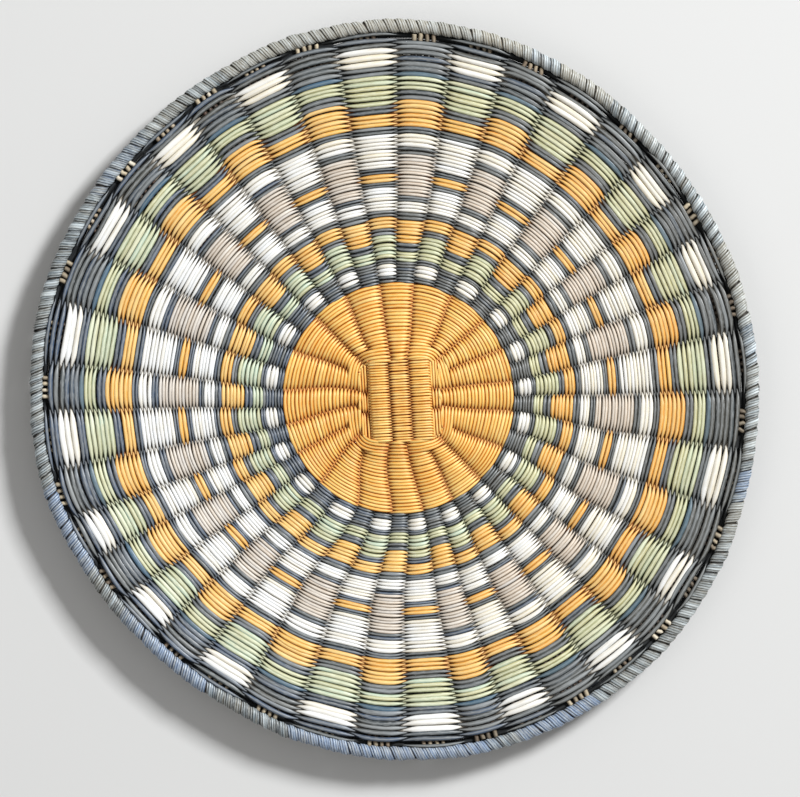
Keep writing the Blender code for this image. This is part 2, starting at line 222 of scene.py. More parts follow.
def table_at(table, index):
    """A table of angles, carried on past a full turn."""
    index = np.asarray(index)
    return table[index % len(table)] + 360.0 * (index // len(table))


def disc_edge(index, radius):
    share = ease((radius - DISC_INNER_R) / (DISC_R - DISC_INNER_R))
    return mix(table_at(INNER_EDGES, index), table_at(DISC_EDGES, index), share)


def field_edge(index, radius):
    index = np.asarray(index)
    inside = mix(table_at(DISC_EDGES, index // 2), table_at(DISC_EDGES, (index + 1) // 2), 0.5)
    share = ease((radius - DISC_R) / (COLUMN_SETTLE_R - DISC_R))
    return mix(inside, table_at(FIELD_EDGES, index), share)


# Meshes made of tubes
# The upper side of a section is where its sine is over this
UPPER_FROM = -0.1
# The UVs of each tube start at another length, so that the streaks differ
UV_STEP = 0.37
UV_TURN = 997.0


def section(sides, square):
    """Cosine and sine round a tube's section; square is 0 for round."""
    turn = np.arange(sides) / sides * math.tau
    cosine, sine = np.cos(turn), np.sin(turn)
    if square:
        cosine = np.sign(cosine) * np.abs(cosine) ** (1 - square)
        sine = np.sign(sine) * np.abs(sine) ** (1 - square)
    return cosine, sine


def ring_points(path, across, half_w, half_t, closed, cosine, sine):
    if closed:
        tangent = unit(np.roll(path, -1, axis=0) - np.roll(path, 1, axis=0))
    else:
        tangent = unit(np.gradient(path, axis=0))
    up = unit(np.cross(across, tangent))
    side = unit(np.cross(tangent, up))
    half_w = np.broadcast_to(half_w, len(path))
    half_t = np.broadcast_to(half_t, len(path))
    return (
        path[:, None, :]
        + side[:, None, :] * (half_w[:, None] * cosine)[:, :, None]
        + up[:, None, :] * (half_t[:, None] * sine)[:, :, None]
    )


class Soup:
    """Collects tubes and makes one mesh of them.

    Each point has a tone (0 dark, 1 light), a hue (0 cool, 1 warm) and a lift (0 where the stem
    is hidden between others, 1 where it faces out); where lift is low, the stem gets painted
    shade. The UVs are the length along the stem in millimetres and the share of the way round it.
    """

    def __init__(self):
        self.verts = []
        self.faces = []
        self.uvs = []
        self.slots = []
        self.values = {"tone": [], "hue": [], "lift": []}
        self.count = 0

    def tube(self, path, across, half_w, half_t, closed, tone, hue, lift, slot, sides=SIDES,
             square=0.0, point=1.0):
        """Adds a tube whose width lies along across. Where point is under 1, its flanks have less
        lift, so they get painted shade."""
        number = len(path)
        cosine, sine = section(sides, square)
        ring = ring_points(path, across, half_w, half_t, closed, cosine, sine)
        self.verts.append(ring.reshape(-1, 3))
        self.add_sides(path, closed, sides, slot)
        for label, value in (("tone", tone), ("hue", hue)):
            self.values[label].append(np.repeat(np.broadcast_to(value, number), sides))
        lift = np.broadcast_to(lift, (number, 2))
        lift = np.where(sine > UPPER_FROM, lift[:, :1], lift[:, 1:])
        flanks = (1 - np.broadcast_to(point, number))[:, None] * np.abs(cosine)
        self.values["lift"].append((lift * (1 - flanks)).reshape(-1))
        self.count += number * sides
        if not closed:
            self.add_caps(number, sides, slot)

    def add_sides(self, path, closed, sides, slot):
        number = len(path)
        last = number if closed else number - 1
        i = np.arange(last)
        j = (i + 1) % number
        k = np.arange(sides)
        m = (k + 1) % sides
        quads = np.stack((
            i[:, None] * sides + k, j[:, None] * sides + k,
            j[:, None] * sides + m, i[:, None] * sides + m,
        ), axis=-1).reshape(-1, 4)
        steps = np.linalg.norm(path[j] - path[i], axis=1)
        length = np.concatenate(((0.0,), np.cumsum(steps))) + self.count * UV_STEP % UV_TURN
        u = np.stack((length[i], length[i + 1], length[i + 1], length[i]), axis=-1)
        v = np.stack((k, k, k + 1, k + 1), axis=-1) / sides
        shape = (last, sides, 4)
        uv = np.stack((np.broadcast_to(u[:, None], shape), np.broadcast_to(v, shape)), axis=-1)
        self.faces.append(quads + self.count)
        self.uvs.append(uv.reshape(-1, 2))
        self.slots.append(np.full(len(quads), slot))

    def add_caps(self, number, sides, slot):
        first = self.count - number * sides
        last = self.count - sides
        k = np.arange(1, sides // 2)
        fan = np.stack((k - 1, k, sides - 1 - k, (sides - k) % sides), axis=-1)
        quads = np.concatenate((first + fan, last + fan[:, ::-1]))
        self.faces.append(quads)
        self.uvs.append(np.zeros((len(quads) * 4, 2)))
        self.slots.append(np.full(len(quads), slot))

    def build(self, name, materials):
        verts = np.concatenate(self.verts) * MM
        faces = np.concatenate(self.faces)
        mesh = bpy.data.meshes.new(name)
        mesh.vertices.add(len(verts))
        mesh.vertices.foreach_set("co", verts.ravel())
        mesh.loops.add(faces.size)
        mesh.loops.foreach_set("vertex_index", faces.ravel().astype(np.int32))
        mesh.polygons.add(len(faces))
        mesh.polygons.foreach_set("loop_start", np.arange(len(faces), dtype=np.int32) * 4)
        mesh.polygons.foreach_set("loop_total", np.full(len(faces), 4, dtype=np.int32))
        mesh.polygons.foreach_set("material_index", np.concatenate(self.slots).astype(np.int32))
        mesh.polygons.foreach_set("use_smooth", np.ones(len(faces), dtype=bool))
        mesh.update(calc_edges=True)
        uv_layer = mesh.uv_layers.new(name="UVMap")
        uv_layer.data.foreach_set("uv", np.concatenate(self.uvs).ravel())
        for label, values in self.values.items():
            data = mesh.attributes.new(label, "FLOAT", "POINT")
            data.data.foreach_set("value", np.concatenate(values))
        mesh.validate()
        for material in materials:
            mesh.materials.append(material)
        piece = bpy.data.objects.new(name, mesh)
        bpy.context.scene.collection.objects.link(piece)
        return piece


def hand_over(piece, node):
    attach(piece, "root")
    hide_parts(node)


# Materials
# Streaks: scale along the stem in 1/mm, and round it
FIBRE_SCALE = (0.07, 5.0, 1.0)
FINE_SCALE = (0.25, 15.0, 1.0)
# Patches of dirt, in 1/m, and how far they show
CLOUD_SCALE = 60.0
CLOUD_SHARE = 0.42
# The warm colour is dimmed for streaks and dirt
DIM_SHARE = 0.72
# How far the fine light streaks show beside the dim ones
FINE_SHARE = 0.9
# The tones at which a stem has its base colour and its lighter one
BASE_TONE = 0.55
LIGHT_TONE = 1.1
SPECULAR = 0.4
# Roughness where a stem is hidden
HIDDEN_ROUGH = 0.95
# In metres
BUMP_DEPTH = 0.00015


def ramp(tree, value, low, high, at_low, at_high):
    node = tree.nodes.new("ShaderNodeMapRange")
    node.inputs["From Min"].default_value = low
    node.inputs["From Max"].default_value = high
    node.inputs["To Min"].default_value = at_low
    node.inputs["To Max"].default_value = at_high
    tree.links.new(value, node.inputs["Value"])
    return node.outputs["Result"]


def layer(tree, under, over, value, low, high, share=1.0):
    """Mixes a colour over another: none of it where value is at low, share of it at high."""
    node = tree.nodes.new("ShaderNodeMix")
    node.data_type = "RGBA"
    factor = ramp(tree, value, low, high, 0.0, share)
    for socket, item in ((node.inputs[0], factor), (node.inputs[6], under), (node.inputs[7], over)):
        if hasattr(item, "is_output"):
            tree.links.new(item, socket)
        else:
            socket.default_value = (*item, 1.0)
    return node.outputs[2]


def attribute(tree, label):
    node = tree.nodes.new("ShaderNodeAttribute")
    node.attribute_name = label
    return node.outputs["Fac"]


def noise(tree, vector, scale, detail, rough):
    node = tree.nodes.new("ShaderNodeTexNoise")
    node.inputs["Scale"].default_value = scale
    node.inputs["Detail"].default_value = detail
    node.inputs["Roughness"].default_value = rough
    tree.links.new(vector, node.inputs["Vector"])
    return node.outputs["Fac"]


def scaled(tree, vector, scale):
    node = tree.nodes.new("ShaderNodeMapping")
    node.inputs["Scale"].default_value = scale
    tree.links.new(vector, node.inputs["Vector"])
    return node.outputs["Vector"]


def operation(tree, kind, value, factor=0.0):
    node = tree.nodes.new("ShaderNodeMath")
    node.operation = kind
    node.inputs[1].default_value = factor
    tree.links.new(value, node.inputs[0])
    return node.outputs["Value"]


def flankness(tree, uv):
    """0 on the top and the bottom line of a stem, 1 on its flanks."""
    split = tree.nodes.new("ShaderNodeSeparateXYZ")
    tree.links.new(uv, split.inputs["Vector"])
    around = operation(tree, "MULTIPLY", split.outputs["Y"], math.tau)
    return operation(tree, "ABSOLUTE", operation(tree, "COSINE", around))


def stem_material(name, base, darker, lighter, cool, warm, edge, rough, streak, hidden_shade=0.0,
                  flank_shade=0.9, bump=0.35, crest=0.5):
    """The colour goes from darker over base to lighter by tone, and from cool to warm by hue.

    streak, crest, flank_shade and hidden_shade say how far the streaks, the painted highlight along
    the top line, the painted shade on the flanks and the painted shade on hidden faces show. The
    edge colour is that of the painted shade.
    and the dark hidden places show.
    """
    material = bpy.data.materials.new(name)
    material.use_nodes = True
    tree = material.node_tree
    shader = tree.nodes["Principled BSDF"]
    coords = tree.nodes.new("ShaderNodeTexCoord")
    uv = coords.outputs["UV"]
    fibres = noise(tree, scaled(tree, uv, FIBRE_SCALE), 1.0, 4.0, 0.6)
    fine = noise(tree, scaled(tree, uv, FINE_SCALE), 1.0, 2.0, 0.6)
    cloud = noise(tree, coords.outputs["Object"], CLOUD_SCALE, 3.0, 0.55)
    tone = attribute(tree, "tone")
    hue = attribute(tree, "hue")
    lift = attribute(tree, "lift")
    beside = flankness(tree, uv)
    dim = tuple(c * DIM_SHARE for c in warm)
    colour = layer(tree, darker, base, tone, 0.0, BASE_TONE)
    colour = layer(tree, colour, lighter, tone, BASE_TONE, LIGHT_TONE)
    colour = layer(tree, colour, cool, hue, 0.45, 0.0)
    colour = layer(tree, colour, warm, hue, 0.55, 1.0)
    colour = layer(tree, colour, dim, fibres, 0.46, 0.60, streak)
    colour = layer(tree, colour, lighter, fine, 0.50, 0.64, streak * FINE_SHARE)
    colour = layer(tree, colour, dim, cloud, 0.48, 0.72, CLOUD_SHARE)
    # Painted highlight along each stem's top and bottom line, then painted shade on its flanks and,
    # where lift is low, on its hidden faces
    colour = layer(tree, colour, lighter, beside, 0.5, 0.1, crest)
    colour = layer(tree, colour, edge, beside, 0.55, 0.97, flank_shade)
    colour = layer(tree, colour, edge, lift, 1.0, 0.0, hidden_shade)
    tree.links.new(colour, shader.inputs["Base Color"])
    tree.links.new(ramp(tree, lift, 0.0, 1.0, HIDDEN_ROUGH, rough), shader.inputs["Roughness"])
    shader.inputs["Specular IOR Level"].default_value = SPECULAR
    bumps = tree.nodes.new("ShaderNodeBump")
    bumps.inputs["Strength"].default_value = bump
    bumps.inputs["Distance"].default_value = BUMP_DEPTH
    tree.links.new(fibres, bumps.inputs["Height"])
    tree.links.new(bumps.outputs["Normal"], shader.inputs["Normal"])
    return material


# Each look's edge colour is painted shade on the stems' flanks and hidden faces, red in the disc as
# painted bounce light; crest is a painted highlight along the top line
LOOKS = {
    "ochre": {
        "name": "stem_ochre",
        "base": (0.93, 0.51, 0.10), "darker": (0.82, 0.37, 0.05), "lighter": (0.99, 0.76, 0.36),
        "cool": (0.92, 0.56, 0.17), "warm": (0.90, 0.41, 0.07), "edge": (0.22, 0.052, 0.007),
        "rough": 0.42, "streak": 0.55, "hidden_shade": 0.95, "flank_shade": 0.55,
    },
    "disc": {
        "name": "stem_disc",
        "base": (0.99, 0.50, 0.070), "darker": (0.86, 0.34, 0.036), "lighter": (1.0, 0.80, 0.32),
        "cool": (0.95, 0.56, 0.125), "warm": (0.90, 0.375, 0.040), "edge": (0.40, 0.034, 0.003),
        "rough": 0.42, "streak": 0.55, "hidden_shade": 0.95, "flank_shade": 0.68,
    },
    "sage": {
        "name": "stem_sage",
        "base": (0.515, 0.54, 0.31), "darker": (0.32, 0.325, 0.16), "lighter": (0.86, 0.87, 0.66),
        "cool": (0.48, 0.62, 0.49), "warm": (0.58, 0.54, 0.27), "edge": (0.05, 0.055, 0.025),
        "rough": 0.42, "streak": 0.6, "hidden_shade": 0.95, "flank_shade": 0.78,
    },
    "cream": {
        "name": "stem_cream",
        "base": (0.93, 0.92, 0.88), "darker": (0.80, 0.75, 0.64), "lighter": (0.95, 0.95, 0.93),
        "cool": (0.90, 0.93, 0.95), "warm": (0.91, 0.82, 0.62), "edge": (0.24, 0.21, 0.165),
        "rough": 0.38, "streak": 0.5, "hidden_shade": 0.90, "flank_shade": 0.30,
    },
    "taupe": {
        "name": "stem_taupe",
        "base": (0.59, 0.505, 0.41), "darker": (0.39, 0.31, 0.235), "lighter": (0.90, 0.85, 0.77),
        "cool": (0.58, 0.54, 0.50), "warm": (0.69, 0.55, 0.41), "edge": (0.10, 0.075, 0.052),
        "rough": 0.45, "streak": 0.65, "hidden_shade": 0.95, "flank_shade": 0.72,
    },
    "dark": {
        "name": "stem_dark",
        "base": (0.073, 0.089, 0.094), "darker": (0.029, 0.037, 0.042),
        "lighter": (0.36, 0.38, 0.385), "cool": (0.053, 0.090, 0.160),
        "warm": (0.108, 0.105, 0.090), "edge": (0.004, 0.005, 0.006),
        "rough": 0.36, "streak": 0.6, "hidden_shade": 0.92, "flank_shade": 0.65,
    },
    "teal": {
        "name": "stem_teal",
        "base": (0.068, 0.125, 0.165), "darker": (0.035, 0.070, 0.10),
        "lighter": (0.22, 0.29, 0.33), "cool": (0.050, 0.125, 0.21),
        "warm": (0.10, 0.12, 0.12), "edge": (0.005, 0.007, 0.009),
        "rough": 0.36, "streak": 0.6, "hidden_shade": 0.92, "flank_shade": 0.65,
    },
    # Rods: darker is near-black painted shade, and warm is a dark red painted shade with painted
    # bounce light from the disc
    "rod": {
        "name": "rod_tan",
        "base": (0.62, 0.53, 0.37), "darker": (0.045, 0.032, 0.024), "lighter": (0.90, 0.86, 0.74),
        "cool": (0.62, 0.58, 0.50), "warm": (0.15, 0.028, 0.008), "edge": (0.05, 0.035, 0.02),
        "rough": 0.85, "streak": 0.15, "crest": 0.04,
    },
    "strip": {
        "name": "rim_strip",
        "base": (0.150, 0.192, 0.218), "darker": (0.022, 0.028, 0.035),
        "lighter": (0.78, 0.86, 0.89), "cool": (0.145, 0.225, 0.38),
        "warm": (0.35, 0.31, 0.23), "edge": (0.012, 0.013, 0.014),
        "rough": 0.40, "streak": 0.60, "flank_shade": 0.5, "bump": 0.5, "crest": 0.25,
    },
    # The hoop is painted dark brown, as painted shade, where it shows between the wraps
    "hoop": {
        "name": "hoop_painted_shade",
        "base": (0.05, 0.042, 0.035), "darker": (0.03, 0.026, 0.022), "lighter": (0.08, 0.07, 0.06),
        "cool": (0.04, 0.04, 0.045), "warm": (0.06, 0.045, 0.03), "edge": (0.02, 0.015, 0.01),
        "rough": 0.6, "streak": 0.4,
    },
}
MATERIALS = {key: stem_material(**look) for key, look in LOOKS.items()}


# What the rounds of the disc and of the field share
def stretches(rng, count, mean, spread, centre=0.5):
    """One value per column, the same along each length of stem of about mean columns."""
    values = np.empty(count)
    start = int(rng.integers(0, count))
    place = 0
    while place < count:
        step = int(rng.integers(mean // 2, mean * 2))
        value = centre + rng.normal(0.0, spread)
        for index in range(place, min(place + step, count)):
            values[(start + index) % count] = value
        place += step
    return np.clip(values, 0.0, 1.0)


def varied(rng, count, look, share=1.0):
    """Stretches, with a spread of single columns over them."""
    mean, spread, own = look
    return stretches(rng, count, mean, spread * share) + rng.normal(0.0, own * share, count)


def outer_faces(place):
    """Lift of a strand's upper and lower faces: 1 for those turned away from the ribs, and 0, so
    painted shade, for those turned towards them.
    """
    soft = 0.25
    start = 0.20
    upper = ease((place + start) / soft)
    lower = ease((start - place) / soft)
    return np.stack((upper, lower), axis=-1)


def stations(count, shares, family):
    """Of each point of a round: its column, its share of the way across the column, its
    distance from the column's middle (1 at the edge), and 1 over the rib or -1 under it."""
    columns = np.repeat(np.arange(count), len(shares))
    share = np.tile(shares, count)
    over = np.where(columns % 2 == family, 1.0, -1.0)
    return columns, share, np.abs(share * 2 - 1), over


def tapered(reach, column_mm, taper_mm):
    """1 along a strand, easing to 0 over its last taper_mm before the crossing."""
    taper = np.clip((1 - reach) * column_mm * 0.5 / taper_mm, 0.0, 1.0)
    return np.sin(taper * math.pi / 2)


# The field: closed strands that go over every other column
FIELD_SHARES = np.array((0.0, 0.035, 0.08, 0.14, 0.23, 0.36, 0.5, 0.64, 0.77, 0.86, 0.92, 0.965))
FIELD_WAVE = 2.0
FIELD_CROSS_RISE = 0.35
# Power of a strand's bow over a column with no width, the width that adds 1, and its range
BOW_POWER = 1.5
BOW_WIDTH = 22.0
BOW_RANGE = (1.9, 2.8)
# Half widths as shares of the pitch: at the crossing, and what the crest adds
FIELD_TIP_W = 0.225
FIELD_CREST_W = 0.335
# Length of the taper of a strand over the rib, as a share of the column and at most, and under it
OVER_TAPER_SHARE = 0.36
OVER_TAPER = 7.6
UNDER_TAPER = 1.6
# How far strands vary: in place, as a share of the pitch, and what the outer rounds add to
# that, and in width and height
FIELD_JITTER = 0.09
OUTER_JITTER = 0.10
SIZE_JITTER = 0.06
# Rounds from which the strands lie looser, are lighter, and the dark ones are slimmer
LOOSE_FROM, LIGHT_FROM, SLIM_FROM = 54, 48, 58
OUTER_LIGHT = 0.15
OUTER_SLIM = 0.17
# Tone and hue: columns in a stretch, spread of the stretches, spread of single columns
FIELD_TONE = (7, 0.17, 0.12)
FIELD_HUE = (9, 0.27, 0.07)
DARK_SPREAD = 1.35
# Painted reflection: the field is painted warmest at this angle and bluest opposite it, on the
# left, as a painted sky reflection
FIELD_TINT_DEG = 15.0
FIELD_SKY_TINT = 0.34
SET_SEED = 1000


def round_radii(family, course):
    """Radius of a round at its crests and where it passes the other set, and its pitch."""
    if course >= FIELD_ROUNDS:
        return EXTRA_R, EXTRA_CROSS_R, EXTRA_PITCH
    marks, radii = ((FIRST_MARKS, FIRST_RADII), (SECOND_MARKS, SECOND_RADII))[family]
    crest_r = np.interp(course + CREST_PLACES[family], marks, radii)
    place = course + CROSS_PLACES[family]
    first = np.interp(place, FIRST_MARKS, FIRST_RADII)
    second = np.interp(place, SECOND_MARKS, SECOND_RADII)
    pitch = np.interp(course + 1, marks, radii) - np.interp(course, marks, radii)
    return crest_r, mix(first, second, 0.5), pitch


def slope_across(radius, degrees, height):
    """The way outwards along the dish, at each point of a round of the field."""
    step = 0.5
    rise = field_z(radius + step) - field_z(radius)
    fall = field_z(radius - step) - field_z(radius)
    return unit(plan(radius + step, degrees, height + rise)
                - plan(radius - step, degrees, height + fall))


def field_strand(soup, family, course, colour, slot, rng):
    crest_r, cross_r, pitch = round_radii(family, course)
    count = FIELD_COLUMNS
    columns, share, reach, over = stations(count, FIELD_SHARES, family)
    loose = FIELD_JITTER + OUTER_JITTER * ease((course - LOOSE_FROM) / 7.0)
    jitter = rng.normal(0.0, loose, count)[columns] * pitch
    sway = np.roll(rng.normal(0.0, loose, count), 1)[columns] * pitch * (share - 0.5)
    wider = 1 + rng.normal(0.0, SIZE_JITTER, count)[columns]
    higher = 1 + rng.normal(0.0, SIZE_JITTER, count)[columns]
    radius = cross_r + (crest_r - cross_r + jitter + sway) * (1 - reach ** RADIUS_POWER)
    start = field_edge(columns, radius)
    end = field_edge(columns + 1, radius)
    degrees = mix(start, end, share)
    column_mm = np.radians(end - start) * radius
    # A strand is flatter over the middle of a wide column than over that of a narrow one
    profile = 1 - reach ** np.clip(BOW_POWER + column_mm / BOW_WIDTH, *BOW_RANGE)
    height = field_z(radius) + over * FIELD_WAVE * profile * higher
    height = height + FIELD_CROSS_RISE * (1 - profile)
    over_taper = np.minimum(OVER_TAPER_SHARE * column_mm, OVER_TAPER)
    taper = tapered(reach, column_mm, np.where(over > 0, over_taper, UNDER_TAPER))
    slim = 1 - OUTER_SLIM * ease((course - SLIM_FROM) / 3.0) * (colour == "dark")
    half_w = pitch * (FIELD_TIP_W + FIELD_CREST_W * taper * wider) * slim
    half_t = mix(TIP_HALF_T, CREST_HALF_T, taper)
    tone = varied(rng, count, FIELD_TONE, DARK_SPREAD if colour == "dark" else 1.0)
    tone = np.clip(tone + OUTER_LIGHT * ease((course - LIGHT_FROM) / 6.0), 0.0, 1.0)
    # Painted sky reflection: bluer on the left, warmer on the right
    warm = FIELD_SKY_TINT * np.cos(np.radians(FIELD_EDGES - FIELD_TINT_DEG))
    hue = np.clip(varied(rng, count, FIELD_HUE) + warm, 0.0, 1.0)
    # Painted shade: faces turned towards the ribs, and the flanks near each crossing, are painted
    # dark
    soup.tube(plan(radius, degrees, height), slope_across(radius, degrees, height), half_w, half_t,
              True, tone[columns], hue[columns], outer_faces(over * profile), slot,
              square=STEM_SQUARE, point=np.minimum(1.5 * taper, 1.0))


def plain_round(soup, radius, slot):
    """A round that lies under the outer zone, beside the rods, painted near black as painted shade.
    """
    rng = np.random.default_rng(int(radius * 10))
    degrees = np.arange(0, 360, 3.0)
    number = len(degrees)
    radius = radius + rng.normal(0.0, PLAIN_JITTER, number)
    path = plan(radius, degrees, field_z(radius) - PLAIN_DROP)
    out = roll_frame(degrees)[1]
    tone = stretches(rng, number, *PLAIN_TONE)
    # Lift 0 gives the whole round the dark material's painted shade colour
    soup.tube(path, out, PLAIN_HALF_W, PLAIN_HALF_T, True, tone, 0.5, 0.0, slot)


def build_field():
    sets = (
        ("a", FIRST_ROUNDS, FIRST_NODES, FIRST_SPLITS),
        ("b", SECOND_ROUNDS, SECOND_NODES, SECOND_SPLITS),
    )
    for family, (letter, rounds, nodes, splits) in enumerate(sets):
        colours = [colour for colour, number in rounds for _ in range(number)] + ["dark"]
        for index, label in enumerate(nodes):
            soup = Soup()
            first, last = splits[index], splits[index + 1]
            beside_rim = family == 1 and last == FIELD_ROUNDS
            if beside_rim:
                last += 1
            used = sorted(set(colours[first:last]))
            for course in range(first, last):
                rng = np.random.default_rng(SET_SEED * family + course)
                colour = colours[course]
                field_strand(soup, family, course, colour, used.index(colour), rng)
            if beside_rim:
                for radius in PLAIN_RADII:
                    plain_round(soup, radius, used.index("dark"))
            name = f"field_stems_{letter}{index + 1}"
            piece = soup.build(name, [MATERIALS[key] for key in used])
            node = f"field_weft_{letter}{index + 1}_{label}"
            hand_over(piece, node)


# The disc: rounds that start close round the crossed panels and end round
DISC_STATIONS = 12
DISC_SHARES = np.arange(DISC_STATIONS) / DISC_STATIONS
DISC_WAVE = 1.95
DISC_BOW_POWER = 2.2
# The higher, the later a strand's height turns to that of the next rib
BED_POWER = 1.6
DISC_TIP_W = 0.245
DISC_CREST_W = 0.29
DISC_OVER_TAPER = 3.2
DISC_UNDER_TAPER = 0.9
DISC_JITTER = 0.05
DISC_TONE = (6, 0.17, 0.12)
DISC_HUE = (8, 0.28)
# Under 0, as the disc is warmest on the left
DISC_WARM = -0.16
DISC_SEED = 5000
# The first round's radius, near enough to find its columns
DISC_START_R = 21.0
# Half width and half length of the rounded square that the disc starts from
SQUARE_HALF_X = 19.0
SQUARE_HALF_Y = 19.6
SQUARE_POWER = 6
# The first rounds go over the through ribs only, and round the corners between them
CORNER_ROUNDS = 4
CORNER_COLUMNS = (0, 1, 4, 5, 6, 9, 10, 11, 14, 15, 16, 19)
CORNER_EDGES = (0, 1, 3, 5, 6, 8, 10, 11, 13, 15, 16, 18)
# Near the panels the upper through ribs lie high, and the added ribs have a share of that: one
# for those beside an upper rib, one for the others
FALL_FROM = 17.5
FALL_LENGTH = 20.0
BESIDE_SHARE = 0.5
ADDED_SHARE = 0.2
# The lower through ribs rise a little there
LOWER_RISE = 0.9
LOWER_FALL_FROM = 19.0
LOWER_FALL_LENGTH = 8.0


def disc_start(degrees):
    angle = np.radians(degrees - PANEL_LEAN_DEG)
    beside = np.abs(np.cos(angle)) / SQUARE_HALF_X
    above = np.abs(np.sin(angle)) / SQUARE_HALF_Y
    square = (beside ** SQUARE_POWER + above ** SQUARE_POWER) ** (-1 / SQUARE_POWER)
    turn = np.radians(degrees)
    return square + PANEL_SHIFT[0] * np.cos(turn) + PANEL_SHIFT[1] * np.sin(turn)


def column_height(radius, column):
    column = column % DISC_COLUMNS
    over_rest = (UPPER_Z - MID_Z) * (1 - ease((radius - FALL_FROM) / FALL_LENGTH))
    if column in UPPER_SET:
        return MID_Z + over_rest
    if column in BESIDE_UPPER:
        return MID_Z + over_rest * BESIDE_SHARE
    if column in LOWER_SET:
        return MID_Z + LOWER_RISE * (1 - ease((radius - LOWER_FALL_FROM) / LOWER_FALL_LENGTH))
    return MID_Z + over_rest * ADDED_SHARE


def disc_layout(course):
    """The columns of a round and the numbers of the lines between them."""
    if course < CORNER_ROUNDS:
        return CORNER_COLUMNS, CORNER_EDGES
    return tuple(range(DISC_COLUMNS)), tuple(range(DISC_COLUMNS))


def disc_strand(soup, family, course, slot, rng):
    names, edges = disc_layout(course)
    count = len(names)
    edges = np.array(edges + (edges[0] + DISC_COLUMNS,))
    columns, share, reach, over = stations(count, DISC_SHARES, family)
    jitter = rng.normal(0.0, DISC_JITTER, count)[columns]
    crossing = course + CROSS_PLACES[family]
    crest = course + CREST_PLACES[family]
    outwards = (crossing + (crest - crossing + jitter) * (1 - reach ** RADIUS_POWER)) / DISC_ROUNDS
    rough_r = mix(DISC_START_R, DISC_R, outwards)
    left = disc_edge(edges[columns], rough_r)
    right = disc_edge(edges[columns + 1], rough_r)
    degrees = mix(left, right, share)
    inside = disc_start(degrees)
    radius = mix(inside, DISC_R, outwards)
    pitch = (DISC_R - inside) / DISC_ROUNDS

    def bed(radii, shift):
        return np.array([
            column_height(r, names[(c + shift) % count]) for r, c in zip(radii, columns)
        ])

    own = bed(radius, 0)
    aside = np.where(share < 0.5, bed(radius, -1), bed(radius, 1))
    profile = 1 - reach ** DISC_BOW_POWER
    height = mix(own, (own + aside) * 0.5, reach ** BED_POWER) + over * DISC_WAVE * profile
    column_mm = np.radians(right - left) * radius
    taper = tapered(reach, column_mm, np.where(over > 0, DISC_OVER_TAPER, DISC_UNDER_TAPER))
    wider = 1 + rng.normal(0.0, DISC_JITTER, count)[columns]
    half_w = pitch * (DISC_TIP_W + DISC_CREST_W * taper * wider)
    half_t = mix(TIP_HALF_T, CREST_HALF_T, taper)
    step = 0.5
    grade = (bed(radius + step, 0) - bed(radius - step, 0)) * 0.5
    across = unit(plan(radius + step, degrees, height + grade)
                  - plan(radius - step, degrees, height - grade))
    tone = np.clip(varied(rng, count, DISC_TONE), 0.0, 1.0)
    warm = DISC_WARM * np.cos(np.radians(disc_edge(edges[:-1], DISC_R)))
    hue = np.clip(stretches(rng, count, *DISC_HUE) + warm, 0.0, 1.0)
    # Painted shade: faces turned towards the ribs, and the flanks near each crossing, are painted
    # dark
    soup.tube(plan(radius, degrees, height), across, half_w, half_t, True, tone[columns],
              hue[columns], outer_faces(over * profile), slot, square=STEM_SQUARE, point=taper)


def build_disc():
    for family, letter in enumerate("ab"):
        splits = DISC_SPLITS[family]
        for index in range(len(splits) - 1):
            soup = Soup()
            for course in range(splits[index], splits[index + 1]):
                rng = np.random.default_rng(DISC_SEED + SET_SEED * family + course)
                disc_strand(soup, family, course, 0, rng)
            piece = soup.build(f"disc_stems_{letter}{index + 1}", [MATERIALS["disc"]])
            hand_over(piece, f"disc_weft_{letter}{index + 1}_ochre")


# Centre panels: each is one strip that goes back and forth over and under three ribs
PANEL_ROWS = 60
PANEL_PITCH = PANEL_HALF_L * 2 / PANEL_ROWS
PANEL_WAVE = 1.5
PANEL_BOW_POWER = 2.4
# How far rows bend and lie off their line
ROW_BEND = 0.10
ROW_JITTER = 0.05
ROW_STEPS = 41
TURN_R = 0.9
TURN_TAPER = 0.92
TURN_ANGLES = np.radians(np.array((-70.0, -40.0, 0.0, 40.0, 70.0)))
# Past the upper panel the lower one is a rounded square, raised to the disc's first rounds
LOWER_SQUARE = 20.4
EDGE_LAP = 0.5
LOWER_LIFT = 1.7
LIFT_FROM = 14.0
LIFT_LENGTH = 2.0
# The upper panel's rows lie lower towards their ends and turns
UPPER_DROOP = 1.0
DROOP_FROM = 10.5
DROOP_LENGTH = 4.5
PANEL_TAPER = 2.9
PANEL_TIP_W = 0.34
PANEL_CREST_W = 0.67
PANEL_TIP_T = 0.30
PANEL_CREST_T = 0.52
# Tone: middle, and spread of the rows. Hue: rows in a stretch, and spread
PANEL_TONE = (0.62, 0.20)
PANEL_HUE = (8, 0.2)
PANEL_SEEDS = {"upper": 9500, "lower": 9000}


def panel_axes(upper):
    """Centre of a panel, the way across its ribs and the way along them."""
    lean = math.radians(PANEL_LEAN_DEG)
    along = np.array((-math.sin(lean), math.cos(lean), 0.0))
    across = np.array((math.cos(lean), math.sin(lean), 0.0))
    if not upper:
        along, across = across, along
    centre = np.array((
        DISC_SHIFT[0] + PANEL_SHIFT[0], DISC_SHIFT[1] + PANEL_SHIFT[1],
        UPPER_Z if upper else LOWER_Z,
    ))
    return centre, across, along


